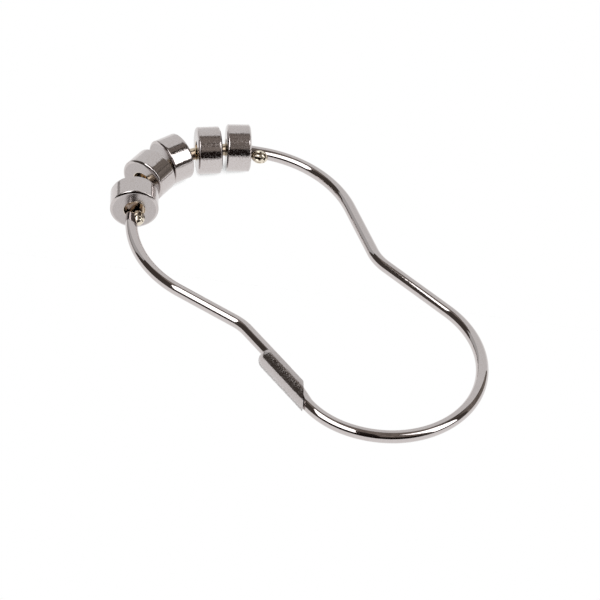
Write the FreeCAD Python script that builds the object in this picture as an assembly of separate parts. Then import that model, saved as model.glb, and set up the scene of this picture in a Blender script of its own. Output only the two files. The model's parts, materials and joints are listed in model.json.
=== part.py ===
import FreeCAD, Part

"""Roller curtain ring: one bent spring wire, a rolled clasp sleeve and five loose turned rollers.

Everything is in millimetres. The ring is first drawn flat in its own plane, with the centre of the
large curtain loop at the origin, the rod loop towards -X and the clasp on the -Y side. It is then
tipped a little, so that it lies on a table on the far end of the curtain loop and on its rollers.
The part's origin is the middle of its footprint, on the table.
"""

import math
import os
from collections import namedtuple

Vector = FreeCAD.Vector

# Wire
wire_diameter = 2.4
wire_end_rounding = 0.5

# Curtain loop, the large round end, and the straight flank that leaves it
curtain_loop_radius = 19.0
curtain_loop_half_turn_deg = 98.16
flank_length = 16.0

# Waist, where each side bends outwards into the rod loop
waist_bend_radius = 9.9
waist_bend_deg = 26.73

# Rod loop, the end that the rollers ride on
rod_loop_radius = 22.1
crown_half_angle_deg = 46.5
stop_straight_length = 1.8

# Stop ears, pinched out of the wire on the inner side at both ends of the crown. Each place is
# measured along the wire from where the crown's straight shoulder starts.
ear_length = 3.4
ear_radius = 1.35
ear_offset = 1.2
plain_ear_place = 0.3
clasp_ear_place = -1.35

# Pockets that the jaws left in each ear: two rows of three, on its upper and on its lower side
pocket_length = 1.3
pocket_width = 0.8
pocket_depth = 0.2
pocket_rib = 0.3
pocket_lean_deg = 40.0
pocket_rows_deg = 48.0
pocket_shift = 0.15

# Clasp sleeve, rolled from sheet with its slot towards the inside of the ring
sleeve_diameter = 4.04
sleeve_sheet = 0.3
sleeve_length = 12.25
sleeve_nose_radius = 1.8
sleeve_inset = 0.94
sleeve_offset = 1.03
mouth_slant_deg = 53.0
mouth_place = -0.5
seat_clearance = 0.02

# Fixed end of the wire, inside the sleeve
grip_length = 6.2

# Free end of the wire: the lead off the curtain loop, the kink and the straight tip
lead_start_deg = 60.0
kink_from_lip = 0.45
kink_bend_radius = 3.0
tip_length = 5.6
tip_clearance = 0.07

# Rollers, turned from solid bar
roller_diameter = 9.48
roller_length = 4.86
roller_bore = 4.04
roller_edge_rounding = 0.38
bore_edge_rounding = 0.12
crown_drop = 0.3

# Where each roller has come to rest: its angle from the top of the crown, how far it sits outside
# the wire's centreline, and how far its axis has swung off the wire's direction
Rest = namedtuple("Rest", "place_deg outward swing_deg")
roller_rests = (
    Rest(place_deg=-44.2, outward=0.02, swing_deg=9.4),
    Rest(place_deg=-20.4, outward=0.25, swing_deg=-2.5),
    Rest(place_deg=-1.8, outward=0.38, swing_deg=-3.3),
    Rest(place_deg=20.6, outward=-0.15, swing_deg=-9.7),
    Rest(place_deg=37.8, outward=0.12, swing_deg=3.0),
)

# Derived sizes
wire_radius = wire_diameter / 2
roller_radius = roller_diameter / 2
bore_radius = roller_bore / 2
sleeve_radius = sleeve_diameter / 2
sleeve_bore_radius = sleeve_radius - sleeve_sheet
run_distance = curtain_loop_radius - sleeve_inset - sleeve_offset
sleeve_distance = curtain_loop_radius - sleeve_inset
tip_play = sleeve_bore_radius - wire_radius - tip_clearance
lip_reach = sleeve_radius * math.tan(math.radians(mouth_slant_deg))

X_AXIS = Vector(1, 0, 0)
Z_AXIS = Vector(0, 0, 1)
OVERCUT = 4 * sleeve_diameter


def heading(angle_deg):
    """Unit vector in the ring's plane at an angle from +X."""
    turn = math.radians(angle_deg)
    return Vector(math.cos(turn), math.sin(turn), 0)


def angle_of(vector):
    """Angle of a vector in the ring's plane, in degrees from +X."""
    return math.degrees(math.atan2(vector.y, vector.x))


def mirrored(point):
    """The same point on the other side of the ring's centre line."""
    return Vector(point.x, -point.y, point.z)


def line(start, end):
    return Part.LineSegment(start, end).toShape()


def arc(centre, radius, start_deg, end_deg):
    middle_deg = (start_deg + end_deg) / 2
    points = [centre + heading(a) * radius for a in (start_deg, middle_deg, end_deg)]
    return Part.Arc(*points).toShape()


class PlainSide:
    """Centreline of the side without the clasp, from the curtain loop to the top of the crown."""

    def __init__(self):
        leave = curtain_loop_half_turn_deg + 90
        self.flank_start = heading(curtain_loop_half_turn_deg) * curtain_loop_radius
        self.flank_end = self.flank_start + heading(leave) * flank_length
        self.waist_centre = self.flank_end + heading(leave - 90) * waist_bend_radius
        self.waist_from_deg = leave + 90
        self.waist_to_deg = leave + 90 - waist_bend_deg
        self.waist_end = self.waist_centre + heading(self.waist_to_deg) * waist_bend_radius

        out = leave - waist_bend_deg
        centre_reach = heading(out + 90) * rod_loop_radius
        rise = -(self.waist_end.y + centre_reach.y) / heading(out).y
        self.rod_start = self.waist_end + heading(out) * rise
        self.rod_centre = self.rod_start + centre_reach
        self.rod_from_deg = out - 90
        self.rod_to_deg = 180 - crown_half_angle_deg

        half = math.radians(crown_half_angle_deg)
        self.stop_start = self.rod_centre + heading(self.rod_to_deg) * rod_loop_radius
        self.stop_end = self.stop_start + heading(self.rod_to_deg + 90) * stop_straight_length
        self.crown_radius = rod_loop_radius - stop_straight_length / math.tan(half)
        self.crown_centre = self.rod_centre - Vector(stop_straight_length / math.sin(half), 0, 0)


class ClaspSide:
    """The fixed run, the sleeve's axis and the free tip, all on the clasp side."""

    def __init__(self, plain):
        self.waist_centre = mirrored(plain.waist_centre)
        spread = math.degrees(
            math.acos((run_distance + waist_bend_radius) / self.waist_centre.Length))
        self.outward = heading(angle_of(self.waist_centre) + spread)
        self.along = Vector(-self.outward.y, self.outward.x, 0)
        self.run_start = self.waist_centre - self.outward * waist_bend_radius
        self.nose_place = mouth_place - sleeve_length
        self.run_end = self.at(self.nose_place + grip_length, run_distance)

        self.kink_start = self.at(mouth_place + lip_reach - kink_from_lip, sleeve_distance + tip_play)
        self.tip_end = self.at(
            mouth_place + lip_reach - kink_from_lip - tip_length, sleeve_distance - tip_play)
        lead_start = heading(-lead_start_deg) * curtain_loop_radius
        reach = self.kink_start - lead_start
        inwards = heading(180 - lead_start_deg)
        self.lead_radius = reach.Length ** 2 / (2 * reach.dot(inwards))
        self.lead_centre = lead_start + inwards * self.lead_radius
        self.lead_to_deg = angle_of(self.kink_start - self.lead_centre)

        self.kink_centre = self.kink_start + heading(self.lead_to_deg + 180) * kink_bend_radius
        sight = self.tip_end - self.kink_centre
        self.kink_to_deg = angle_of(sight) + math.degrees(math.acos(kink_bend_radius / sight.Length))
        self.tip_start = self.kink_centre + heading(self.kink_to_deg) * kink_bend_radius

    def at(self, place, distance):
        """Point by its place along the sleeve and its distance out from the curtain loop's centre."""
        return self.along * place + self.outward * distance


def centreline(plain, clasp):
    """The whole wire's centreline, from its free tip round to its fixed end."""
    origin = Vector(0, 0, 0)
    flank_turn = curtain_loop_half_turn_deg
    run_deg = angle_of(-clasp.outward) - 360
    return Part.Wire([
        line(clasp.tip_end, clasp.tip_start),
        arc(clasp.kink_centre, kink_bend_radius, clasp.kink_to_deg, clasp.lead_to_deg),
        arc(clasp.lead_centre, clasp.lead_radius, clasp.lead_to_deg, -lead_start_deg),
        arc(origin, curtain_loop_radius, -lead_start_deg, flank_turn),
        line(plain.flank_start, plain.flank_end),
        arc(plain.waist_centre, waist_bend_radius, plain.waist_from_deg, plain.waist_to_deg),
        line(plain.waist_end, plain.rod_start),
        arc(plain.rod_centre, rod_loop_radius, plain.rod_from_deg, plain.rod_to_deg),
        line(plain.stop_start, plain.stop_end),
        arc(plain.crown_centre, plain.crown_radius, plain.rod_to_deg, 360 - plain.rod_to_deg),
        line(mirrored(plain.stop_end), mirrored(plain.stop_start)),
        arc(plain.rod_centre, rod_loop_radius, -plain.rod_to_deg, -plain.rod_from_deg),
        line(mirrored(plain.rod_start), mirrored(plain.waist_end)),
        arc(clasp.waist_centre, waist_bend_radius, -plain.waist_to_deg, run_deg),
        line(clasp.run_start, clasp.run_end),
    ])


def end_edges(solid, places):
    """Round edges of a swept wire at its two cut ends."""
    return [edge for edge in solid.Edges
            if any(edge.BoundBox.Center.distanceToPoint(place) < wire_radius / 2 for place in places)]


def jaw_pockets():
    """Blocks that cut the pockets of an ear lying along the X axis with its free side towards +Y."""
    half = ear_length / 2
    blocks = []
    for column in (-1, 0, 1):
        middle = column * (pocket_length + pocket_rib)
        nearest = max(0, abs(middle) - pocket_length / 2)
        floor = ear_radius * math.sqrt(1 - (nearest / half) ** 2) - pocket_depth
        for side in (1, -1):
            for row in (1, -1):
                block = Part.makeBox(pocket_length, pocket_width, OVERCUT, Vector(
                    middle + pocket_shift - pocket_length / 2, -pocket_width / 2, floor))
                turn = pocket_lean_deg + row * pocket_rows_deg / 2
                block.rotate(Vector(0, 0, 0), X_AXIS, -turn if side > 0 else turn - 180)
                blocks.append(block)
    return blocks


def stop_ear(plain, place):
    """Pinched lug on the inner side of the wire, pocketed by the serrated jaws that raised it."""
    half = ear_length / 2
    outline = Part.Arc(Part.Ellipse(Vector(0, 0, 0), half, ear_radius), 0, math.pi).toShape()
    spine = line(Vector(-half, 0, 0), Vector(half, 0, 0))
    ear = Part.Face(Part.Wire([outline, spine])).revolve(Vector(0, 0, 0), X_AXIS, 360)
    ear = ear.cut(jaw_pockets())

    turn_deg = plain.rod_to_deg + math.degrees(min(place, 0) / rod_loop_radius)
    seat = plain.rod_centre + heading(turn_deg) * rod_loop_radius + heading(turn_deg + 90) * max(place, 0)
    ear.rotate(Vector(0, 0, 0), Z_AXIS, turn_deg + 90)
    ear.translate(seat + heading(turn_deg + 180) * ear_offset)
    return ear


def ring_wire(plain, clasp):
    path = centreline(plain, clasp)
    circle = Part.Circle(clasp.tip_end, clasp.tip_start - clasp.tip_end, wire_radius)
    section = Part.Wire([circle.toShape()])
    bar = path.makePipeShell([section], True, False)
    bar = bar.makeFillet(wire_end_rounding, end_edges(bar, (clasp.tip_end, clasp.run_end)))
    plain_ear = stop_ear(plain, plain_ear_place)
    clasp_ear = stop_ear(plain, clasp_ear_place).mirror(Vector(0, 0, 0), Vector(0, 1, 0))
    return bar.fuse([plain_ear, clasp_ear]).removeSplitter().Solids[0]


def sleeve_outline(radius, nose_radius, nose_place, mouth_end):
    """Half section of a round-nosed rod about the X axis, from its nose to past its mouth."""
    corner = nose_radius * (1 - math.sqrt(0.5))
    tip = Vector(nose_place, 0, 0)
    flat = Vector(nose_place, radius - nose_radius, 0)
    bend = Vector(nose_place + corner, radius - corner, 0)
    shoulder = Vector(nose_place + nose_radius, radius, 0)
    end = Vector(mouth_end, radius, 0)
    foot = Vector(mouth_end, 0, 0)
    edges = [line(tip, flat), Part.Arc(flat, bend, shoulder).toShape(),
             line(shoulder, end), line(end, foot), line(foot, tip)]
    face = Part.Face(Part.Wire(edges))
    return face.revolve(Vector(0, 0, 0), Vector(1, 0, 0), 360)


def clasp_sleeve(clasp):
    """Rolled sleeve: round nose round the fixed wire, slot inwards, slanted open mouth."""
    nose = clasp.nose_place
    past_mouth = mouth_place + lip_reach + OVERCUT
    shell = sleeve_outline(sleeve_radius, sleeve_nose_radius, nose, past_mouth)
    cavity = sleeve_outline(
        sleeve_bore_radius, sleeve_nose_radius - sleeve_sheet, nose + sleeve_sheet, past_mouth)
    shell = shell.cut(cavity)

    meet = (sleeve_bore_radius ** 2 - wire_radius ** 2 + sleeve_offset ** 2) / (2 * sleeve_offset)
    slot_half = math.sqrt(sleeve_bore_radius ** 2 - meet ** 2) + seat_clearance
    slot = Part.makeBox(sleeve_length + 2 * OVERCUT, OVERCUT, 2 * slot_half,
                        Vector(nose - OVERCUT, 0, -slot_half))
    slot.translate(Vector(0, sleeve_offset, 0))
    seat = Part.makeCylinder(wire_radius + seat_clearance, grip_length + OVERCUT,
                             Vector(nose - OVERCUT, sleeve_offset, 0), Vector(1, 0, 0))
    shell = shell.cut([slot, seat])

    beyond = Part.makeBox(2 * OVERCUT, 4 * OVERCUT, 4 * OVERCUT, Vector(0, -2 * OVERCUT, -2 * OVERCUT))
    beyond.rotate(Vector(0, 0, 0), Z_AXIS, mouth_slant_deg)
    beyond.translate(Vector(mouth_place, 0, 0))
    shell = shell.cut(beyond)

    shell.rotate(Vector(0, 0, 0), Z_AXIS, angle_of(clasp.along))
    shell.translate(clasp.outward * sleeve_distance)
    return shell.Solids[0]


def roller_blank():
    """One turned roller about the X axis, with rounded rims and a bore that is broken at both mouths."""
    bar = Part.makeCylinder(roller_radius, roller_length, Vector(-roller_length / 2, 0, 0), Vector(1, 0, 0))
    rims = [edge for edge in bar.Edges if isinstance(edge.Curve, Part.Circle)]
    bar = bar.makeFillet(roller_edge_rounding, rims)
    hole = Part.makeCylinder(bore_radius, 2 * roller_length, Vector(-roller_length, 0, 0), Vector(1, 0, 0))
    bar = bar.cut(hole)
    mouths = [edge for edge in bar.Edges
              if isinstance(edge.Curve, Part.Circle) and abs(edge.Curve.Radius - bore_radius) < bore_edge_rounding]
    return bar.makeFillet(bore_edge_rounding, mouths).Solids[0]


def table_tip(plain):
    """Angle in degrees between the ring's plane and the table, and the height of its centreline at x = 0."""
    crown_x = plain.crown_centre.x - plain.crown_radius
    rise = roller_radius - crown_drop - wire_radius
    slope = rise / (curtain_loop_radius - crown_x)
    return math.degrees(math.atan(slope)), wire_radius + slope * curtain_loop_radius


def laid_on_table(shape, tip_deg, height):
    shape = shape.copy()
    shape.rotate(Vector(0, 0, 0), Vector(0, 1, 0), tip_deg)
    shape.translate(Vector(0, 0, height))
    return shape


def roller_at(plain, rest, blank, tip_deg):
    """A roller on the table, round the wire at its resting place."""
    place_deg = 180 - rest.place_deg
    reach = plain.crown_radius + rest.outward
    flat_place = plain.crown_centre + heading(place_deg) * reach
    roller = blank.copy()
    roller.rotate(Vector(0, 0, 0), Z_AXIS, place_deg + 90 + rest.swing_deg)
    roller.translate(Vector(flat_place.x * math.cos(math.radians(tip_deg)), flat_place.y, roller_radius))
    return roller


def build():
    plain = PlainSide()
    clasp = ClaspSide(plain)
    tip_deg, height = table_tip(plain)
    pieces = {
        "ring_wire": laid_on_table(ring_wire(plain, clasp), tip_deg, height),
        "clasp_sleeve": laid_on_table(clasp_sleeve(clasp), tip_deg, height),
    }
    lowest = min(piece.optimalBoundingBox(False).ZMin for piece in pieces.values())
    for piece in pieces.values():
        piece.translate(Vector(0, 0, -lowest))
    blank = roller_blank()
    for number, rest in enumerate(roller_rests, start=1):
        pieces[f"roller_{number}"] = roller_at(plain, rest, blank, tip_deg)

    whole = FreeCAD.BoundBox()
    for piece in pieces.values():
        whole.add(piece.optimalBoundingBox(False))
    to_origin = Vector(-whole.Center.x, -whole.Center.y, -whole.ZMin)
    for piece in pieces.values():
        piece.translate(to_origin)
    return pieces


def main():
    os.makedirs("parts", exist_ok=True)
    for name, piece in build().items():
        piece.exportStep(os.path.join("parts", f"{name}.step"))
        box = piece.optimalBoundingBox(False)
        print(f"{name}: solids {len(piece.Solids)}, valid {piece.isValid()}, volume {piece.Volume:.2f},"
              f" x {box.XMin:.2f} to {box.XMax:.2f}, y {box.YMin:.2f} to {box.YMax:.2f},"
              f" z {box.ZMin:.2f} to {box.ZMax:.2f}")


if __name__ == "__main__":
    main()
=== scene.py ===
"""Looks of a roller curtain ring: plated spring wire, a rolled clasp sleeve and five loose rollers.

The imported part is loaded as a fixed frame. Each of its nodes is stood for by a finer surface of the
same shape, worked out here in millimetres with numpy, so that polished metal mirrors the studio
cleanly.
"""

import json
import logging
import math
from dataclasses import dataclass, field
from enum import Enum

import bpy
import numpy as np
from mathutils import Matrix, Vector


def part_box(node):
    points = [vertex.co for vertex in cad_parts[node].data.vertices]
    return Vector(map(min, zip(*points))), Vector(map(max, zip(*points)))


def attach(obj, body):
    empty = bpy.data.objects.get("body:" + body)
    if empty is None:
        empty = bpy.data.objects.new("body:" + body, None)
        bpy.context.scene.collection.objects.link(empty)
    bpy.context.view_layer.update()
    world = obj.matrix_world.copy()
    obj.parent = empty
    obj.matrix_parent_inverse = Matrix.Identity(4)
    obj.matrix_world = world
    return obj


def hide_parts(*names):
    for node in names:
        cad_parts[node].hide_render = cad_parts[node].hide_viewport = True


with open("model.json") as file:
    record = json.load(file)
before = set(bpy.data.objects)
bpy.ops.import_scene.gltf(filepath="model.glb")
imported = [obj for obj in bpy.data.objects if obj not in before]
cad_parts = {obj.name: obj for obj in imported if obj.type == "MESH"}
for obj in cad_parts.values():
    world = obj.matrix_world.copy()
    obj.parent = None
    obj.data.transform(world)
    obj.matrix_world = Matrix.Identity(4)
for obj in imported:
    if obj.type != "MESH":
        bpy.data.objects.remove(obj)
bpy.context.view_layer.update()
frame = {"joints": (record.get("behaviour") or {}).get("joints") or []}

log = logging.getLogger("curtain_ring")
MM = 0.001
FULL_TURN = 2 * math.pi
UP = np.array([0, 0, 1.0])
# Noise keeps mostly to this span, so stretching it gives the whole range from dark to light
NOISE_SPAN = (0.35, 0.65)
GRAIN_STOPS = [(0.42, 0.0), (0.62, 1.0)]
WARM_GREY = (1, 0.86, 0.77)


class Body(Enum):
    """The rigid bodies that pieces ride on."""

    HOOK = "hook"
    ROLLER = "roller_{number}"


class Value:
    """One shader socket with arithmetic, so that shader maths reads as an expression."""

    def __init__(self, shader: "Shader", socket: bpy.types.NodeSocket) -> None:
        """Wraps an output socket of a shader, which new Math nodes go to."""
        self.shader = shader
        self.socket = socket

    def _math(self, operation: str, *operands: object) -> "Value":
        """Adds a Math node on the operands."""
        inputs = dict(enumerate(operands))
        return self.shader.node("ShaderNodeMath", {"operation": operation}, inputs)

    def __add__(self, other: object) -> "Value":
        """Sum."""
        return self._math("ADD", self, other)

    def __sub__(self, other: object) -> "Value":
        """Difference."""
        return self._math("SUBTRACT", self, other)

    def __rsub__(self, other: object) -> "Value":
        """Difference from a number."""
        return self._math("SUBTRACT", other, self)

    def __mul__(self, other: object) -> "Value":
        """Product."""
        return self._math("MULTIPLY", self, other)

    __radd__ = __add__
    __rmul__ = __mul__


class Shader:
    """The node tree of one material, filled through a single method."""

    def __init__(self, name: str) -> None:
        """Makes an empty material.

        Args:
            name: the material's name.
        """
        self.material = bpy.data.materials.new(name)
        self.material.use_nodes = True
        self.tree = self.material.node_tree
        self.tree.nodes.clear()

    def node(self, kind: str, settings: dict | None = None, inputs: dict | None = None,
             output: object = 0) -> Value:
        """Adds one node.

        Args:
            kind: the node's type.
            settings: its properties, set before its sockets. "stops" fills a colour ramp.
            inputs: socket name or number to a value or a Value to link.
            output: name or number of the socket to return.

        Returns:
            The chosen output.
        """
        made = self.tree.nodes.new(kind)
        for key, setting in (settings or {}).items():
            if key == "stops":
                self._fill_ramp(made.color_ramp, setting)
            else:
                setattr(made, key, setting)
        for key, value in (inputs or {}).items():
            if isinstance(value, Value):
                self.tree.links.new(value.socket, made.inputs[key])
            else:
                made.inputs[key].default_value = value
        return Value(self, made.outputs[output] if len(made.outputs) else None)

    def stretched(self, level: Value, span: tuple[float, float],
                  ends: tuple[float, float]) -> Value:
        """Brings a level from one span to another, held at both ends.

        Args:
            level: what is stretched.
            span: levels that meet the ends.
            ends: values at the ends.

        Returns:
            The stretched level.
        """
        return self.node("ShaderNodeMapRange", {"clamp": True},
                         {"Value": level, "From Min": span[0], "From Max": span[1],
                          "To Min": ends[0], "To Max": ends[1]})

    def blended(self, share: Value, first: tuple, second: tuple) -> Value:
        """Blends two colours, the share being how much of the second one shows."""
        return self.node("ShaderNodeMix", {"data_type": "RGBA"},
                         {"Factor": share, "A": (*first, 1), "B": (*second, 1)}, output="Result")

    @staticmethod
    def _fill_ramp(ramp: bpy.types.ColorRamp, stops: list) -> None:
        """Sets a ramp's stops.

        Args:
            ramp: the ramp.
            stops: pairs of position and grey level.
        """
        while len(ramp.elements) < len(stops):
            ramp.elements.new(1.0)
        for element, (position, level) in zip(ramp.elements, stops):
            element.position = position
            element.color = (level, level, level, 1)


@dataclass(frozen=True)
class Plating:
    """Polished nickel plate: a tinted mirror with a faint orange peel and uneven polish.

    Sizes and heights are in millimetres. mottle is the roughness that dull grains add, lathe_height
    raises fine turning marks, and flank_lean tips the shading across a rolled piece's girth.
    """

    name: str
    tint: tuple[float, float, float] = (0.597, 0.556, 0.550)
    cloud_tint: tuple[float, float, float] = (0.555, 0.508, 0.492)
    roughness: tuple[float, float] = (0.05, 0.11)
    mottle: float = 0.0
    peel_size: float = 0.9
    peel_height: float = 0.004
    speckle_size: float = 0.22
    speckle_height: float = 0.0015
    lathe_height: float = 0.0
    flank_lean: float = 0.0
    cloud_size: float = 4.5
    cloud_share: float = 0.6
    lathe_marks: tuple[float, float, float] = (2.0, 90.0, 1.0)

    def material(self) -> bpy.types.Material:
        """Builds the material.

        Returns:
            A material on Object coordinates and, for lathe marks, on the piece's own UV map.
        """
        shader = Shader(self.name)
        place = shader.node("ShaderNodeTexCoord", output="Object")
        peel = self._noise(shader, place, self.peel_size, detail=2.0)
        speckle = self._noise(shader, place, self.speckle_size, detail=3.0)
        clouds = self._noise(shader, place, self.cloud_size, detail=2.0)

        wear = clouds * self.cloud_share + speckle * (1 - self.cloud_share)
        polish = shader.stretched(wear, NOISE_SPAN, self.roughness)
        if self.mottle:
            grains = self._noise(shader, place, self.speckle_size, detail=1.0)
            dull = shader.node("ShaderNodeValToRGB", {"stops": GRAIN_STOPS}, {"Fac": grains})
            polish = polish + dull * self.mottle
        stains = shader.node("ShaderNodeValToRGB", {"stops": GRAIN_STOPS}, {"Fac": speckle})
        colour = shader.blended(stains, self.tint, self.cloud_tint)

        height = peel * self.peel_height + speckle * self.speckle_height
        if self.lathe_height:
            height = height + self._lathe_marks(shader) * self.lathe_height
        if self.flank_lean:
            uv = shader.node("ShaderNodeUVMap", {"uv_map": "UVMap"})
            girth = shader.node("ShaderNodeSeparateXYZ", inputs={"Vector": uv})
            height = height - girth * self.flank_lean
        bump = shader.node("ShaderNodeBump",
                           inputs={"Strength": 1.0, "Distance": MM, "Height": height})
        surface = shader.node(
            "ShaderNodeBsdfPrincipled",
            inputs={"Base Color": colour, "Metallic": 1.0, "Roughness": polish, "Normal": bump})
        shader.node("ShaderNodeOutputMaterial", inputs={"Surface": surface})
        return shader.material

    @staticmethod
    def _noise(shader: Shader, place: Value, size_mm: float, detail: float) -> Value:
        """Adds noise whose grains are about size_mm across."""
        return shader.node("ShaderNodeTexNoise", {"noise_dimensions": "3D"},
                           {"Vector": place, "Scale": 1 / (size_mm * MM), "Detail": detail})

    def _lathe_marks(self, shader: Shader) -> Value:
        """Adds fine rings: noise that changes quickly along the profile and slowly round the axis.

        Args:
            shader: the material that they go to.

        Returns:
            The marks' height, from 0 to 1.
        """
        uv = shader.node("ShaderNodeUVMap", {"uv_map": "UVMap"})
        drawn = shader.node("ShaderNodeMapping", inputs={"Vector": uv, "Scale": self.lathe_marks})
        return shader.node("ShaderNodeTexNoise", {"noise_dimensions": "2D"},
                           {"Vector": drawn, "Scale": 1.0, "Detail": 2.0})


NICKEL = Plating("wire_plating", roughness=(0.02, 0.07), speckle_height=0.0006)
# Painted warm reflection: a brighter, warmer tint on the wire's crown in the bores stands in for
# light bounced between the nickel parts.
CROWN_PAINTED_REFLECTION = Plating("crown_painted_reflection", tint=(0.62, 0.53, 0.41), cloud_tint=(0.56, 0.47, 0.35),
                     roughness=(0.02, 0.07), speckle_height=0.0006)
# Painted warm reflection: the stop ears' bright cream tint stands in for bounced light.
EAR_PAINTED_REFLECTION = Plating("ear_painted_reflection", tint=(0.78, 0.71, 0.60), cloud_tint=(0.70, 0.62, 0.50))
# Painted shade: a dark tint in the ears' pressed pockets.
POCKET_PAINTED_SHADE = Plating("pocket_painted_shade", tint=(0.33, 0.27, 0.20), cloud_tint=(0.24, 0.19, 0.14))
ROLLED_SHEET = Plating("sleeve_plating", tint=(0.54, 0.50, 0.497), cloud_tint=(0.50, 0.457, 0.443),
                       mottle=0.15, peel_height=0.012, speckle_size=0.26, speckle_height=0.006,
                       flank_lean=0.22)
GRAINY_BARREL = Plating("roller_plating", mottle=0.16, speckle_size=0.3, speckle_height=0.005,
                        lathe_height=0.002)
SMOOTH_BARREL = Plating("smooth_plating", mottle=0.07, speckle_size=0.3, speckle_height=0.0025,
                        lathe_height=0.002)
# Painted warm reflection: the bore's bright warm tint stands in for light bounced inside it.
BORE_PAINTED_REFLECTION = Plating("bore_painted_reflection", tint=(0.86, 0.78, 0.68), cloud_tint=(0.80, 0.70, 0.59))
# Painted shade: the end faces' darker tint stands in for the shaded table seen in them.
FACE_PAINTED_SHADE = Plating("face_painted_shade", tint=(0.484, 0.450, 0.446), cloud_tint=(0.450, 0.412, 0.402),
                      roughness=(0.15, 0.22))


@dataclass(frozen=True)
class Glow:
    """A plain light surface, for the table and the studio's panels.

    It carries painted shade, dimmed in narrow gaps where shade_reach is given, and is uneven where
    patch_size is given, both in metres. A share of 1 of the radiance is what an even surface has.
    """

    name: str
    colour: tuple[float, float, float]
    radiance: float
    shade_reach: float = 0.0
    patch_size: float = 0.0
    shade_samples: int = 16
    gap_openness: tuple[float, float] = (0.03, 0.17)
    gap_shares: tuple[float, float] = (0.1, 1.0)
    patch_shares: tuple[float, float] = (0.35, 1.75)

    def material(self) -> bpy.types.Material:
        """Builds an emission material.

        Returns:
            The material.
        """
        shader = Shader(self.name)
        colour, peak = (*self.colour, 1), 1.0
        if self.patch_size:
            place = shader.node("ShaderNodeTexCoord", output="Object")
            patches = shader.node("ShaderNodeTexNoise",
                                  inputs={"Vector": place, "Scale": 1 / self.patch_size})
            lowest, peak = self.patch_shares
            colour = self._dimmed(shader, patches, NOISE_SPAN, (lowest / peak, 1.0))
        if self.shade_reach:
            # Painted shade: ambient occlusion darkens the glow where the surface lies in a narrow
            # gap, such as between rollers.
            openness = shader.node("ShaderNodeAmbientOcclusion", {"samples": self.shade_samples},
                                   {"Distance": self.shade_reach}, output="AO")
            colour = self._dimmed(shader, openness, self.gap_openness, self.gap_shares)
        light = shader.node("ShaderNodeEmission",
                            inputs={"Color": colour, "Strength": peak * self.radiance})
        shader.node("ShaderNodeOutputMaterial", inputs={"Surface": light})
        return shader.material

    def _dimmed(self, shader: Shader, level: Value, span: tuple[float, float],
                shares: tuple[float, float]) -> Value:
        """The colour times a share that follows a level."""
        return shader.blended(shader.stretched(level, span, shares), (0, 0, 0), self.colour)


def put_mesh(name: str, points: np.ndarray, faces: np.ndarray | list,
             finishes: list[bpy.types.Material], finish_of: np.ndarray | None = None,
             uv: np.ndarray | None = None, scale: float = MM) -> bpy.types.Object:
    """Makes a smooth object at the origin from points and faces.

    Args:
        name: the object's name.
        points: n by 3 places, in millimetres unless scale says otherwise.
        faces: corner numbers of each face.
        finishes: the materials.
        finish_of: optional number of each face's material.
        uv: optional n by 2 places of the points on the UV map.
        scale: metres per unit of points.

    Returns:
        The new object, linked to the scene.
    """
    mesh = bpy.data.meshes.new(name)
    mesh.from_pydata((points * scale).tolist(), [], [list(map(int, f)) for f in faces])
    mesh.polygons.foreach_set("use_smooth", np.ones(len(mesh.polygons), bool))
    if uv is not None:
        corners = np.empty(len(mesh.loops), np.int32)
        mesh.loops.foreach_get("vertex_index", corners)
        layer = mesh.uv_layers.new(name="UVMap")
        layer.data.foreach_set("uv", uv[corners].astype(np.float32).ravel())
    for finish in finishes:
        mesh.materials.append(finish)
    if finish_of is not None:
        mesh.polygons.foreach_set("material_index", finish_of.astype(np.int32))
    mesh.update()
    made = bpy.data.objects.new(name, mesh)
    bpy.context.scene.collection.objects.link(made)
    return made


def grid_faces(rows: int, columns: int, close_rows: bool, close_columns: bool) -> np.ndarray:
    """Quads of a grid whose point (i, j) is number i * columns + j.

    Args:
        rows: how many rows of points.
        columns: how many points in a row.
        close_rows: whether the last row joins the first.
        close_columns: whether the last column joins the first.

    Returns:
        An m by 4 array of point numbers.
    """
    i = np.arange(rows if close_rows else rows - 1)[:, None]
    j = np.arange(columns if close_columns else columns - 1)[None, :]
    here, below = i * columns, (i + 1) % rows * columns
    beside = (j + 1) % columns
    return np.stack([here + j, here + beside, below + beside, below + j], -1).reshape(-1, 4)


def capped_faces(rows: int, columns: int) -> list[np.ndarray]:
    """Faces of a tube of rings, with a fan of triangles to a pole at each end.

    Args:
        rows: how many rings.
        columns: how many points in a ring.

    Returns:
        Quads of the grid, then the fans. The poles are the two points after the grid's, first the
        one at the first ring.
    """
    j = np.arange(columns)
    beside = (j + 1) % columns
    pole = np.full(columns, rows * columns)
    last = (rows - 1) * columns
    return [*grid_faces(rows, columns, False, True), *np.stack([pole, beside, j], -1),
            *np.stack([pole + 1, last + j, last + beside], -1)]


def heading(angle_deg: float | np.ndarray) -> np.ndarray:
    """Unit vector in the ring's plane at each angle from +X: its cosine, its sine and 0."""
    turn = np.radians(angle_deg)
    return np.stack([np.cos(turn), np.sin(turn), np.zeros_like(turn)], -1)


def angle_of(vector: np.ndarray) -> float:
    """Angle of a vector in the ring's plane, in degrees from +X."""
    return math.degrees(math.atan2(vector[1], vector[0]))


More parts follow.
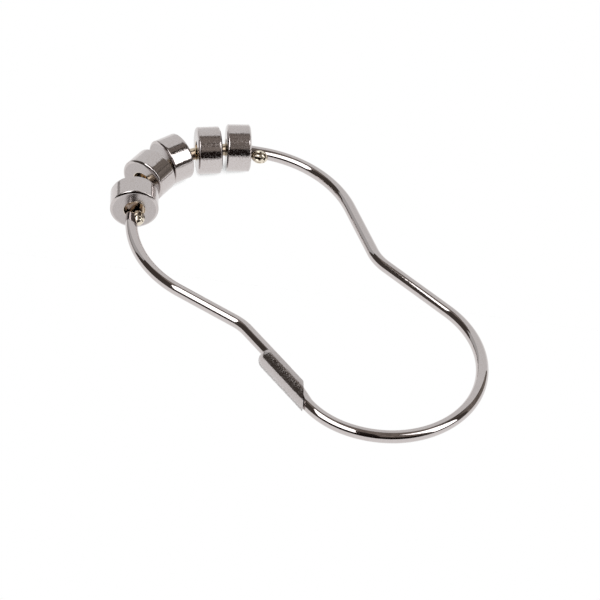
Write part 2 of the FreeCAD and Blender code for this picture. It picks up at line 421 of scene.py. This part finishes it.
@dataclass
class Centreline:
    """A planar run of straights and arcs, sampled as points with their directions."""

    spacing: float = 0.16
    points: list = field(default_factory=list)
    tangents: list = field(default_factory=list)

    def line(self, start: np.ndarray, end: np.ndarray) -> None:
        """Adds a straight: the start plus a share of the way to the end.

        Args:
            start: where it starts.
            end: where it ends.
        """
        length = np.linalg.norm(end - start)
        count = max(2, round(length / self.spacing))
        share = np.linspace(0, 1, count, endpoint=False)[:, None]
        self.points.append(start + share * (end - start))
        self.tangents.append(np.broadcast_to((end - start) / length, (len(share), 3)))

    def arc(self, centre: np.ndarray, radius: float, start_deg: float, end_deg: float) -> None:
        """Adds an arc: the centre plus the radius times the heading, the angle changing evenly.

        Args:
            centre: middle of the arc's circle.
            radius: radius of that circle.
            start_deg: angle of the first point, seen from the centre.
            end_deg: angle of the last point.
        """
        length = radius * math.radians(abs(end_deg - start_deg))
        count = max(2, round(length / self.spacing))
        angles = np.linspace(start_deg, end_deg, count, endpoint=False)
        self.points.append(centre + radius * heading(angles))
        self.tangents.append(heading(angles + math.copysign(90, end_deg - start_deg)))

    def finished(self, end: np.ndarray) -> tuple[np.ndarray, np.ndarray]:
        """Closes the run at its last point.

        Args:
            end: the last point.

        Returns:
            All points and all unit directions.
        """
        points = np.vstack([*self.points, end[None, :]])
        tangents = np.vstack([*self.tangents, self.tangents[-1][-1:]])
        return points, tangents


@dataclass
class RingPlan:
    """The ring's driving sizes in millimetres, flat in its plane, curtain loop at the origin."""

    wire_diameter: float = 2.4
    curtain_loop_radius: float = 19.0
    curtain_loop_half_turn: float = 98.16
    flank_length: float = 16.0
    waist_bend_radius: float = 9.9
    waist_bend: float = 26.73
    rod_loop_radius: float = 22.1
    crown_half_angle: float = 46.5
    stop_straight_length: float = 1.8
    sleeve_diameter: float = 4.04
    sleeve_sheet: float = 0.3
    sleeve_length: float = 12.25
    sleeve_nose_radius: float = 1.8
    sleeve_inset: float = 0.94
    sleeve_offset: float = 1.03
    mouth_slant: float = 53.0
    mouth_place: float = -0.5
    grip_length: float = 6.2
    lead_start: float = 60.0
    kink_from_lip: float = 0.45
    kink_bend_radius: float = 3.0
    tip_length: float = 5.6
    tip_clearance: float = 0.07
    roller_radius: float = 4.74
    crown_drop: float = 0.3

    def __post_init__(self) -> None:
        """Works out the places that follow from the driving sizes."""
        self.wire_radius = self.wire_diameter / 2
        self._plan_plain_side()
        self._plan_clasp_side()
        rise = self.roller_radius - self.crown_drop - self.wire_radius
        slope = rise / (self.curtain_loop_radius + self.crown_radius - self.crown_centre[0])
        self.lean = math.atan(slope)

    def _plan_plain_side(self) -> None:
        """Follows the side without the clasp from the curtain loop to the crown."""
        leave = self.curtain_loop_half_turn + 90
        self.flank_start = heading(self.curtain_loop_half_turn) * self.curtain_loop_radius
        self.flank_end = self.flank_start + heading(leave) * self.flank_length
        self.waist_centre = self.flank_end + heading(leave - 90) * self.waist_bend_radius
        self.waist_from = leave + 90
        self.waist_to = leave + 90 - self.waist_bend
        self.waist_end = self.waist_centre + heading(self.waist_to) * self.waist_bend_radius
        out = leave - self.waist_bend
        reach = heading(out + 90) * self.rod_loop_radius
        rise = -(self.waist_end[1] + reach[1]) / heading(out)[1]
        self.rod_start = self.waist_end + heading(out) * rise
        self.rod_centre = self.rod_start + reach
        self.rod_from = out - 90
        self.rod_to = 180 - self.crown_half_angle
        half = math.radians(self.crown_half_angle)
        self.stop_start = self.rod_centre + heading(self.rod_to) * self.rod_loop_radius
        self.stop_end = self.stop_start + heading(self.rod_to + 90) * self.stop_straight_length
        self.crown_radius = self.rod_loop_radius - self.stop_straight_length / math.tan(half)
        setback = self.stop_straight_length / math.sin(half)
        self.crown_centre = self.rod_centre - np.array([setback, 0, 0])

    def _plan_clasp_side(self) -> None:
        """Follows the fixed run, the sleeve's axis and the free tip."""
        run_distance = self.curtain_loop_radius - self.sleeve_inset - self.sleeve_offset
        self.sleeve_distance = self.curtain_loop_radius - self.sleeve_inset
        self.clasp_waist = self.mirrored(self.waist_centre)
        waist_distance = np.linalg.norm(self.clasp_waist)
        spread = math.acos((run_distance + self.waist_bend_radius) / waist_distance)
        self.outward = heading(angle_of(self.clasp_waist) + math.degrees(spread))
        self.along = np.array([-self.outward[1], self.outward[0], 0])
        self.run_start = self.clasp_waist - self.outward * self.waist_bend_radius
        self.nose_place = self.mouth_place - self.sleeve_length
        self.run_end = self.at(self.nose_place + self.grip_length, run_distance)

        radius = self.sleeve_diameter / 2
        play = radius - self.sleeve_sheet - self.wire_radius - self.tip_clearance
        self.lip_reach = radius * math.tan(math.radians(self.mouth_slant))
        kink_place = self.mouth_place + self.lip_reach - self.kink_from_lip
        kink_start = self.at(kink_place, self.sleeve_distance + play)
        self.tip_end = self.at(kink_place - self.tip_length, self.sleeve_distance - play)
        lead_start = heading(-self.lead_start) * self.curtain_loop_radius
        reach = kink_start - lead_start
        inwards = heading(180 - self.lead_start)
        self.lead_radius = (reach @ reach) / (2 * reach @ inwards)
        self.lead_centre = lead_start + inwards * self.lead_radius
        self.lead_to = angle_of(kink_start - self.lead_centre)
        self.kink_centre = kink_start + heading(self.lead_to + 180) * self.kink_bend_radius
        sight = self.tip_end - self.kink_centre
        self.kink_to = angle_of(sight) + math.degrees(
            math.acos(self.kink_bend_radius / np.linalg.norm(sight)))
        self.tip_start = self.kink_centre + heading(self.kink_to) * self.kink_bend_radius

    @staticmethod
    def mirrored(point: np.ndarray) -> np.ndarray:
        """The same point on the other side of the ring's centre line."""
        return point * np.array([1, -1, 1])

    def at(self, place: float, distance: float) -> np.ndarray:
        """Point by its place along the sleeve and its distance from the curtain loop's middle."""
        return self.along * place + self.outward * distance

    def centreline(self) -> tuple[np.ndarray, np.ndarray]:
        """The wire's centreline from its free tip to its fixed end.

        Returns:
            Points and unit directions, n by 3 each.
        """
        path = Centreline()
        path.line(self.tip_end, self.tip_start)
        path.arc(self.kink_centre, self.kink_bend_radius, self.kink_to, self.lead_to)
        path.arc(self.lead_centre, self.lead_radius, self.lead_to, -self.lead_start)
        path.arc(np.zeros(3), self.curtain_loop_radius,
                 -self.lead_start, self.curtain_loop_half_turn)
        path.line(self.flank_start, self.flank_end)
        path.arc(self.waist_centre, self.waist_bend_radius, self.waist_from, self.waist_to)
        path.line(self.waist_end, self.rod_start)
        path.arc(self.rod_centre, self.rod_loop_radius, self.rod_from, self.rod_to)
        path.line(self.stop_start, self.stop_end)
        path.arc(self.crown_centre, self.crown_radius, self.rod_to, 360 - self.rod_to)
        path.line(self.mirrored(self.stop_end), self.mirrored(self.stop_start))
        path.arc(self.rod_centre, self.rod_loop_radius, -self.rod_to, -self.rod_from)
        path.line(self.mirrored(self.rod_start), self.mirrored(self.waist_end))
        path.arc(self.clasp_waist, self.waist_bend_radius,
                 -self.waist_to, angle_of(-self.outward) - 360)
        path.line(self.run_start, self.run_end)
        return path.finished(self.run_end)

    def laid(self, points: np.ndarray) -> np.ndarray:
        """Turns points from the ring's plane by its lean on the table, about the Y axis.

        Args:
            points: n by 3 places in the ring's plane.

        Returns:
            The same places on the leaning ring.
        """
        c, s = math.cos(self.lean), math.sin(self.lean)
        turn = np.array([[c, 0, s], [0, 1, 0], [-s, 0, c]])
        return points @ turn.T


@dataclass
class RingWire:
    """The bent wire with its rounded ends and its two pinched stop ears."""

    plan: RingPlan
    finishes: tuple[Plating, ...] = (NICKEL, EAR_PAINTED_REFLECTION, POCKET_PAINTED_SHADE, CROWN_PAINTED_REFLECTION)
    around: int = 48
    end_rings: int = 7
    end_rounding: float = 0.5
    ear_length: float = 3.4
    ear_radius: float = 1.35
    ear_offset: float = 1.2
    plain_ear_place: float = 0.3
    clasp_ear_place: float = -1.35
    pocket_length: float = 1.3
    pocket_width: float = 0.8
    pocket_depth: float = 0.2
    pocket_rib: float = 0.3
    pocket_lean: float = 40.0
    pocket_rows: float = 48.0
    pocket_shift: float = 0.15
    pocket_edge: float = 0.12
    pocket_mark: float = 0.04
    ear_rings: int = 72
    ear_around: int = 112
    # Wire faces within this angle of the crown's top get the painted warm reflection.
    reflection_half_angle: float = 40.0

    def tube(self) -> tuple[np.ndarray, list[np.ndarray], np.ndarray]:
        """Surface of the wire.

        A point is the centreline's point, plus the local radius times the cosine of the angle along
        the sideways direction, plus the radius times its sine along the plane's normal. At each end
        the radius follows a quarter circle down to a flat disc.

        Returns:
            Points, faces and UV places.
        """
        centre, tangent = self.plan.centreline()
        step = np.linalg.norm(np.diff(centre, axis=0), axis=1)
        distance = np.concatenate([[0], np.cumsum(step)])
        end_turn = np.linspace(0, math.pi / 2, self.end_rings)
        drop = self.end_rounding * (1 - np.cos(end_turn))
        setback = self.end_rounding * (1 - np.sin(end_turn))
        near = np.searchsorted(distance, self.end_rounding)
        far = np.searchsorted(distance, distance[-1] - self.end_rounding)
        first = centre[0] + tangent[0] * setback[::-1, None]
        last = centre[-1] - tangent[-1] * setback[:, None]
        centre = np.vstack([first, centre[near:far], last])
        tangent = np.vstack([np.repeat(tangent[:1], self.end_rings, 0), tangent[near:far],
                             np.repeat(tangent[-1:], self.end_rings, 0)])
        radius = self.plan.wire_radius - np.concatenate([drop[::-1], np.zeros(far - near), drop])
        sideways = np.stack([-tangent[:, 1], tangent[:, 0], tangent[:, 2]], -1)
        turn = np.arange(self.around) * FULL_TURN / self.around
        ring = (np.cos(turn)[None, :, None] * sideways[:, None, :]
                + np.sin(turn)[None, :, None] * UP)
        surface = centre[:, None, :] + radius[:, None, None] * ring
        points = np.vstack([surface.reshape(-1, 3), centre[:1], centre[-1:]])
        along = np.concatenate([[0], np.cumsum(np.linalg.norm(np.diff(centre, axis=0), axis=1))])
        girth = turn * self.plan.wire_radius
        uv = np.stack(np.broadcast_arrays(along[:, None], girth[None, :]), -1)
        uv = np.vstack([uv.reshape(-1, 2), [[0, 0], [along[-1], 0]]])
        return points, capped_faces(len(centre), self.around), uv

    def pocketed(self, lug: np.ndarray) -> np.ndarray:
        """Sinks the jaws' pockets into an ear that lies along X with its free side towards +Y.

        In each pocket a point drops along the pocket's own facing to the floor, times a soft step
        of how far inside the pocket it lies: three times the square less twice the cube of that
        distance over the edge's width.

        Args:
            lug: n by 3 places on the plain ear.

        Returns:
            The places after pressing.
        """
        half = self.ear_length / 2
        for column in (-1, 0, 1):
            middle = column * (self.pocket_length + self.pocket_rib)
            nearest = max(0, abs(middle) - self.pocket_length / 2)
            floor = self.ear_radius * math.sqrt(1 - (nearest / half) ** 2) - self.pocket_depth
            inside = self.pocket_length / 2 - np.abs(lug[:, 0] - middle - self.pocket_shift)
            for side in (1, -1):
                for row in (1, -1):
                    turn = math.radians(self.pocket_lean + row * self.pocket_rows / 2)
                    facing = np.array([0, math.sin(turn), side * math.cos(turn)])
                    height = lug @ facing
                    sideways = lug @ np.array([0, math.cos(turn), -side * math.sin(turn)])
                    margin = np.minimum(inside, self.pocket_width / 2 - np.abs(sideways))
                    step = np.clip(margin / self.pocket_edge, 0, 1)
                    soft = step * step * (3 - 2 * step)
                    drop = np.where(height > floor, height - floor, 0) * soft
                    lug = lug - drop[:, None] * facing
        return lug

    def ear(self, place: float, side: int) -> tuple[np.ndarray, list[np.ndarray], np.ndarray]:
        """Surface of one stop ear.

        An ellipsoid round the wire's direction: half the length times the cosine of the fall along
        it, and the ear's radius times its sine across it, then pocketed.

        Args:
            place: place along the wire from where the crown's straight shoulder starts.
            side: 1 for the plain side, -1 for the clasp side.

        Returns:
            Points, faces and which faces lie in a pocket.
        """
        plan = self.plan
        turn_deg = plan.rod_to + math.degrees(min(place, 0) / plan.rod_loop_radius)
        tangent, inwards = heading(turn_deg + 90), heading(turn_deg + 180)
        seat = plan.rod_centre + heading(turn_deg) * plan.rod_loop_radius + tangent * max(place, 0)
        fall = np.linspace(0, math.pi, self.ear_rings + 2)[1:-1, None]
        turn = (np.arange(self.ear_around) * FULL_TURN / self.ear_around)[None, :]
        along = self.ear_length / 2 * np.cos(fall) + 0 * turn
        out = self.ear_radius * np.sin(fall)
        lug = np.stack([along, out * np.cos(turn), out * np.sin(turn)], -1).reshape(-1, 3)
        tip = np.array([[self.ear_length / 2, 0, 0]])
        plain = np.vstack([lug, tip, -tip])
        lug = self.pocketed(plain)
        pressed = np.linalg.norm(lug - plain, axis=1) > self.pocket_mark
        points = seat + inwards * self.ear_offset + lug @ np.stack([tangent, inwards, UP])
        points = points * np.array([1, side, 1])
        faces = [face[::-side] for face in capped_faces(self.ear_rings, self.ear_around)]
        return points, faces, np.array([pressed[face].all() for face in faces])

    def build(self, shift: np.ndarray) -> bpy.types.Object:
        """Makes the wire and dresses it.

        Args:
            shift: move from the leaning ring's own place to the frame's, in millimetres.

        Returns:
            The finished piece.
        """
        of_wire, of_ear_reflection, of_pocket_shade, of_crown_reflection = range(len(self.finishes))
        points, faces, uv = self.tube()
        middles = np.array([points[face].mean(axis=0) for face in faces]) - self.plan.crown_centre
        off_top = np.degrees(np.abs(np.arctan2(middles[:, 1], -middles[:, 0])))
        # Painted warm reflection: the faces near the crown's top, which sit in the rollers' bores,
        # take the warm crown tint.
        crown_reflection_mask = off_top < self.reflection_half_angle
        finish_of = [np.where(crown_reflection_mask, of_crown_reflection, of_wire)]
        for place, side in ((self.plain_ear_place, 1), (self.clasp_ear_place, -1)):
            ear_points, ear_faces, pressed = self.ear(place, side)
            # Pressed pocket faces get the painted shade; the rest of each ear gets the painted warm
            # reflection.
            finish_of.append(np.where(pressed, of_pocket_shade, of_ear_reflection))
            faces += [face + len(points) for face in ear_faces]
            points = np.vstack([points, ear_points])
            uv = np.vstack([uv, ear_points[:, :2]])
        return put_mesh("ring_wire_plated", self.plan.laid(points) + shift, faces,
                        [finish.material() for finish in self.finishes],
                        np.concatenate(finish_of), uv)


@dataclass
class ClaspSleeve:
    """The rolled sleeve: round nose, slot towards the fixed wire, slanted mouth."""

    plan: RingPlan
    finish: Plating = ROLLED_SHEET
    seat_clearance: float = 0.02
    columns: int = 97
    flat_rows: int = 3
    nose_rows: int = 26
    barrel_rows: int = 60
    crisp_edge: float = 40.0

    def open_angle(self, radius: np.ndarray) -> np.ndarray:
        """Half angle of the opening at a distance from the sleeve's axis.

        A circle of that radius meets the wire's seat, a circle about the wire, where the cosine is
        the radius squared plus the offset squared less the seat squared, over twice both; further
        out the slot's straight sides cut it where the sine is the half slot over the radius.

        Args:
            radius: distances from the axis.

        Returns:
            Angles in radians, measured from the inward direction.
        """
        plan = self.plan
        seat = plan.wire_radius + self.seat_clearance
        bore = plan.sleeve_diameter / 2 - plan.sleeve_sheet
        offset = plan.sleeve_offset
        meet = (bore ** 2 - plan.wire_radius ** 2 + offset ** 2) / (2 * offset)
        slot = math.sqrt(bore ** 2 - meet ** 2) + self.seat_clearance
        cosine = (radius ** 2 + offset ** 2 - seat ** 2) / (2 * offset * radius)
        round_seat = np.arccos(np.clip(cosine, -1, 1))
        straight = np.arcsin(np.clip(slot / radius, 0, 1))
        past_wire = np.sqrt(np.maximum(radius ** 2 - slot ** 2, 0)) > offset
        return np.where(past_wire, np.maximum(round_seat, straight), round_seat)

    def skin(self, radius: float, nose_radius: float, nose_place: float) -> np.ndarray:
        """One skin of the sheet from its nose to its mouth.

        Rows follow the nose's flat end, its quarter circle and then the barrel, each a circle
        without the slot's angles. The barrel's rows end where the place along the axis is the
        mouth's place plus the outward offset times the tangent of the slant.

        Args:
            radius: the skin's radius.
            nose_radius: rounding at the nose.
            nose_place: the nose's place along the axis.

        Returns:
            Rows by columns by 3 places in the ring's plane.
        """
        plan = self.plan
        turn = np.linspace(0, math.pi / 2, self.nose_rows)
        hole = plan.wire_radius + self.seat_clearance - plan.sleeve_offset
        flat_rows = self.flat_rows if radius - nose_radius > hole else 0
        flat = np.linspace(hole, radius - nose_radius, flat_rows + 1)[:-1]
        share = np.linspace(0, 1, self.barrel_rows + 1)[1:]
        rows_radius = np.concatenate([flat, radius - nose_radius * (1 - np.sin(turn)),
                                      np.full(len(share), radius)])
        rows_place = np.concatenate([np.full(len(flat), nose_place),
                                     nose_place + nose_radius * (1 - np.cos(turn))])
        opening = self.open_angle(rows_radius)
        q = np.linspace(0, 1, self.columns)[None, :]
        angle = opening[:, None] + q * (FULL_TURN - 2 * opening[:, None])
        shoulder = nose_place + nose_radius
        outwards = -radius * np.cos(angle[-len(share):])
        mouth = plan.mouth_place + outwards * math.tan(math.radians(plan.mouth_slant))
        barrel = shoulder + share[:, None] * (mouth - shoulder)
        place = np.vstack([np.repeat(rows_place[:, None], self.columns, 1), barrel])
        inward = rows_radius[:, None] * np.cos(angle)
        up = rows_radius[:, None] * np.sin(angle)
        return (plan.outward * plan.sleeve_distance + place[..., None] * plan.along
                - inward[..., None] * plan.outward + up[..., None] * UP)

    def build(self, shift: np.ndarray) -> bpy.types.Object:
        """Makes the sleeve and dresses it.

        The inner skin follows the outer one in one closed grid, which joins them at the mouth and
        the nose, and a strip of quads joins them along each edge of the slot.

        Args:
            shift: move from the leaning ring's own place to the frame's, in millimetres.

        Returns:
            The finished piece.
        """
        plan = self.plan
        radius = plan.sleeve_diameter / 2
        outer = self.skin(radius, plan.sleeve_nose_radius, plan.nose_place)
        inner = self.skin(radius - plan.sleeve_sheet, plan.sleeve_nose_radius - plan.sleeve_sheet,
                          plan.nose_place + plan.sleeve_sheet)
        rows = len(outer)
        shell = np.concatenate([outer, inner[::-1]])
        faces = [*grid_faces(len(shell), self.columns, True, False)]
        i = np.arange(rows - 1)
        last = len(shell) - 1
        for column in (0, self.columns - 1):
            strip = np.stack([i, i + 1, last - i - 1, last - i], -1) * self.columns + column
            faces += [*(strip if column == 0 else strip[:, ::-1])]
        girth = FULL_TURN * radius * np.linspace(0, 1, self.columns)
        uv = np.stack(np.broadcast_arrays(girth[None, :], np.arange(len(shell))[:, None] * 1.0), -1)
        made = put_mesh("clasp_sleeve_rolled", plan.laid(shell.reshape(-1, 3)) + shift, faces,
                        [self.finish.material()], uv=uv.reshape(-1, 2))
        made.data.set_sharp_from_angle(angle=math.radians(self.crisp_edge))
        return made


@dataclass
class Roller:
    """One turned roller, placed by its joint."""

    number: int
    radius: float = 4.74
    length: float = 4.86
    bore_radius: float = 2.02
    rim_rounding: float = 0.54
    rim_depth: float = 0.34
    rim_power: float = 1.3
    bore_rounding: float = 0.12
    face_margin: float = 0.01
    first_grainy: int = 4
    quarter_rings: int = 17
    face_rings: int = 10
    barrel_rings: int = 12
    wall_rings: int = 8
    around: int = 160

    def profile(self) -> tuple[np.ndarray, np.ndarray]:
        """Closed half section: along the barrel, down a face, back through the bore and up again.

        The bore's mouths are quarter circles. A rim is a blunted quarter: the rounding times the
        cosine, and the depth times the sine, both raised to two over the rim's power.

        Returns:
            Places along the axis and distances from it.
        """
        half = self.length / 2
        quarter = np.linspace(0, math.pi / 2, self.quarter_rings)
        r, b = self.rim_rounding, self.bore_rounding
        bluntness = 2 / self.rim_power
        rim = (half - self.rim_depth * (1 - np.sin(quarter) ** bluntness),
               self.radius - r * (1 - np.cos(quarter) ** bluntness))
        face = np.linspace(self.radius - r, self.bore_radius + b, self.face_rings + 2)[1:-1]
        mouth = (half - b * (1 - np.cos(quarter)), self.bore_radius + b * (1 - np.sin(quarter)))
        shoulder = half - self.rim_depth
        barrel = np.linspace(-shoulder, shoulder, self.barrel_rings + 2)[1:-1]
        wall = np.linspace(half - b, -(half - b), self.wall_rings + 2)[1:-1]
        x = np.concatenate([barrel, rim[0], np.full(len(face), half), mouth[0], wall,
                            -mouth[0][::-1], np.full(len(face), -half), -rim[0][::-1]])
        y = np.concatenate([np.full(len(barrel), self.radius), rim[1], face, mouth[1],
                            np.full(len(wall), self.bore_radius), mouth[1][::-1], face[::-1],
                            rim[1][::-1]])
        return x, y

    def build(self, joint: dict) -> bpy.types.Object:
        """Makes the roller: the profile turned round the joint's axis.

        A point is the joint's place, plus the profile's place times the axis, plus its distance
        times a spoke: the cosine of the turn across the axis plus its sine upwards.

        Args:
            joint: the roller's joint from the record, with its place and axis.

        Returns:
            The finished piece.
        """
        x, y = self.profile()
        turn = np.arange(self.around) * FULL_TURN / self.around
        axis = np.array(joint["axis"], float)
        axis /= np.linalg.norm(axis)
        across = np.cross(UP, axis)
        centre = np.array(joint["pos_m"], float) / MM
        spoke = np.cos(turn)[None, :, None] * across + np.sin(turn)[None, :, None] * UP
        points = centre + x[:, None, None] * axis + y[:, None, None] * spoke
        faces = grid_faces(len(x), self.around, True, True)
        step = np.hypot(np.diff(x, append=x[:1]), np.diff(y, append=y[:1]))
        along = np.concatenate([[0], np.cumsum(step)[:-1]])
        along /= step.sum()
        uv = np.stack(np.broadcast_arrays(turn[None, :] / FULL_TURN, along[:, None]), -1)
        in_bore = (y + np.roll(y, -1)) / 2 < self.bore_radius + self.bore_rounding
        on_face = np.abs(x + np.roll(x, -1)) / 2 > self.length / 2 - self.face_margin
        barrel = GRAINY_BARREL if self.number >= self.first_grainy else SMOOTH_BARREL
        # The bore's tint is a painted warm reflection.
        finishes = [barrel, BORE_PAINTED_REFLECTION, FACE_PAINTED_SHADE]
        of_barrel, of_bore_reflection, of_face_shade = range(len(finishes))
        # The end faces' darker tint is a painted shade.
        finish_of = np.where(in_bore, of_bore_reflection, np.where(on_face, of_face_shade, of_barrel))
        return put_mesh(f"roller_{self.number}_turned", points.reshape(-1, 3), faces,
                        [finish.material() for finish in finishes],
                        np.repeat(finish_of, self.around), uv.reshape(-1, 2))


@dataclass(frozen=True)
class Panel:
    """A four-cornered patch of a large sphere round the object, seen by its reflections only.

    A corner is an azimuth and an elevation in degrees. Azimuth 0 is the camera's side and grows
    towards the camera's right; elevation is above the floor. Corners go round the patch.
    """

    name: str
    corners: tuple[tuple[float, float], ...]
    radiance: float
    colour: tuple[float, float, float] = (1, 1, 1)
    distance: float = 1.6
    patch_size: float = 0.0
    steps: int = 25

    def build(self, camera_azimuth: float) -> bpy.types.Object:
        """Makes the panel: the corners' unit vectors blended both ways, brought to the distance.

        Args:
            camera_azimuth: angle of the camera's side from +X, in degrees.

        Returns:
            The panel.
        """
        azimuth, elevation = np.radians(np.array(self.corners)).T
        flat = heading(np.degrees(azimuth) + camera_azimuth) * np.cos(elevation)[:, None]
        a, b, c, d = flat + np.sin(elevation)[:, None] * UP
        u = np.linspace(0, 1, self.steps)[None, :, None]
        v = np.linspace(0, 1, self.steps)[:, None, None]
        patch = ((1 - v) * ((1 - u) * a + u * b) + v * ((1 - u) * d + u * c)).reshape(-1, 3)
        patch *= self.distance / np.linalg.norm(patch, axis=1, keepdims=True)
        glow = Glow(self.name, self.colour, self.radiance, patch_size=self.patch_size).material()
        faces = grid_faces(self.steps, self.steps, False, False)
        made = put_mesh(self.name, patch, faces, [glow], scale=1.0)
        made.visible_camera = False
        return made


@dataclass
class Studio:
    """White table, panels of light and camera.

    The camera's place is in millimetres from the table under the curtain loop's middle. The sizes
    of the table and the panels are in metres.
    """

    loop_centre_x: float
    camera_place: tuple[float, float, float] = (229.75, -232.70, 328.13)
    camera_right: tuple[float, float, float] = (0.62127, 0.78022, 0.07267)
    camera_down: tuple[float, float, float] = (0.57538, -0.39127, -0.71822)
    camera_forward: tuple[float, float, float] = (-0.53194, 0.48802, -0.69201)
    focal_pixels: float = 2471.7
    frame_pixels: float = 600.0
    centre_right: float = 0.37
    centre_down: float = 0.86
    camera_azimuth: float = -42.5
    sensor_width: float = 36.0
    clip_start: float = 0.01
    table_half: float = 6.0
    gap_reach: float = 10 * MM
    surround: tuple[float, float, float, float] = (0.068, 0.057, 0.050, 1)
    panels: tuple[Panel, ...] = (
        Panel("ceiling", ((-45, 56), (45, 56), (135, 56), (-135, 56)), 0.2, WARM_GREY,
              distance=1.8, patch_size=0.08),
        Panel("front_high", ((9, 32), (52, 32), (60, 60), (-10, 60)), 0.21, WARM_GREY,
              distance=1.7, patch_size=0.08),
        Panel("right_wall", ((88, -6), (132, -6), (138, 52), (108, 52)), 0.18, (1, 0.88, 0.78),
              distance=1.75, patch_size=0.12),
        Panel("sweep_back", ((130, -6), (230, -6), (228, 55), (136, 50)), 0.81, distance=1.7),
        Panel("sweep_left", ((230, -6), (258, -6), (256, 42), (228, 55)), 0.56, distance=1.7),
        Panel("left_skirting", ((222, -2), (258, -2), (258, 19), (222, 7)), 0.36, (1, 0.97, 0.95),
              distance=1.65),
        Panel("front_card", ((-62, 1), (46, 1), (43, 30), (-30, 30)), 0.011, (1, 0.6, 0.5)),
        Panel("camera_stand", ((-12, 28), (9, 28), (9, 67), (-12, 67)), 0.022, (1, 0.8, 0.7)),
        Panel("softbox_left", ((-56, 28), (-13, 31), (-16, 71), (-113, 69)), 3.0, distance=0.6),
        Panel("softbox_right", ((57, 16), (80, 16), (100, 62), (50, 68)), 3.0, distance=0.8),
    )

    def table(self) -> None:
        """Lays a glowing white table top that fills the view, with painted shade in its narrow gaps.
        """
        corners = np.array([[-1, -1, 0], [1, -1, 0], [1, 1, 0], [-1, 1, 0]]) * self.table_half
        # Painted shade: the table darkens in the narrow gaps between the pieces.
        glow = Glow("table_white", (1, 1, 1), 1.0, shade_reach=self.gap_reach).material()
        put_mesh("table", corners, [[0, 1, 2, 3]], [glow], scale=1.0)

    def world(self) -> None:
        """Fills what the panels leave open with the room's even grey."""
        world = bpy.data.worlds.new("grey_room")
        world.use_nodes = True
        background = world.node_tree.nodes["Background"]
        background.inputs["Color"].default_value = self.surround
        background.inputs["Strength"].default_value = 1.0
        bpy.context.scene.world = world

    def camera(self) -> None:
        """Places the camera at the photograph's viewing angle."""
        data = bpy.data.cameras.new("camera")
        data.sensor_width = self.sensor_width
        data.lens = self.sensor_width * self.focal_pixels / self.frame_pixels
        data.clip_start = self.clip_start
        data.shift_x = -self.centre_right / self.frame_pixels
        data.shift_y = self.centre_down / self.frame_pixels
        made = bpy.data.objects.new("camera", data)
        right = Vector(self.camera_right).normalized()
        up = -Vector(self.camera_down).normalized()
        back = -Vector(self.camera_forward).normalized()
        turn = Matrix((right, up, back)).transposed().to_4x4()
        place = Vector(self.camera_place) + Vector((self.loop_centre_x, 0, 0))
        made.matrix_world = Matrix.Translation(place * MM) @ turn
        bpy.context.scene.collection.objects.link(made)
        bpy.context.scene.camera = made

    def build(self) -> None:
        """Sets the whole studio up."""
        self.table()
        self.world()
        for panel in self.panels:
            panel.build(self.camera_azimuth)
        self.camera()
        bpy.context.scene.view_settings.view_transform = "Standard"


def settle_shift(plan: RingPlan) -> np.ndarray:
    """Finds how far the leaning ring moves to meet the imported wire.

    Args:
        plan: the ring's plan.

    Returns:
        The move in millimetres: to the same farthest and lowest points.
    """
    centre, _ = plan.centreline()
    laid = plan.laid(centre)
    low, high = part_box("ring_wire")
    return np.array([
        high.x / MM - laid[:, 0].max() - plan.wire_radius,
        0.0,
        low.z / MM - laid[:, 2].min() + plan.wire_radius,
    ])


def main() -> None:
    """Builds and dresses every piece, then the studio, and reports each piece."""
    logging.basicConfig(level=logging.INFO, format="%(name)s: %(message)s")
    plan = RingPlan()
    shift = settle_shift(plan)
    log.info("ring shift %s mm", np.round(shift, 3).tolist())

    wire = RingWire(plan).build(shift)
    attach(wire, Body.HOOK.value)
    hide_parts("ring_wire")

    sleeve = ClaspSleeve(plan).build(shift)
    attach(sleeve, Body.HOOK.value)
    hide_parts("clasp_sleeve")

    made = [wire, sleeve]
    for number, joint in enumerate(frame["joints"], start=1):
        roller = Roller(number).build(joint)
        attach(roller, Body.ROLLER.value.format(number=number))
        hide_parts(joint["child"])
        made.append(roller)

    for piece in made:
        log.info("%s: %d faces", piece.name, len(piece.data.polygons))
    Studio(loop_centre_x=shift[0]).build()


if __name__ == "__main__":
    main()
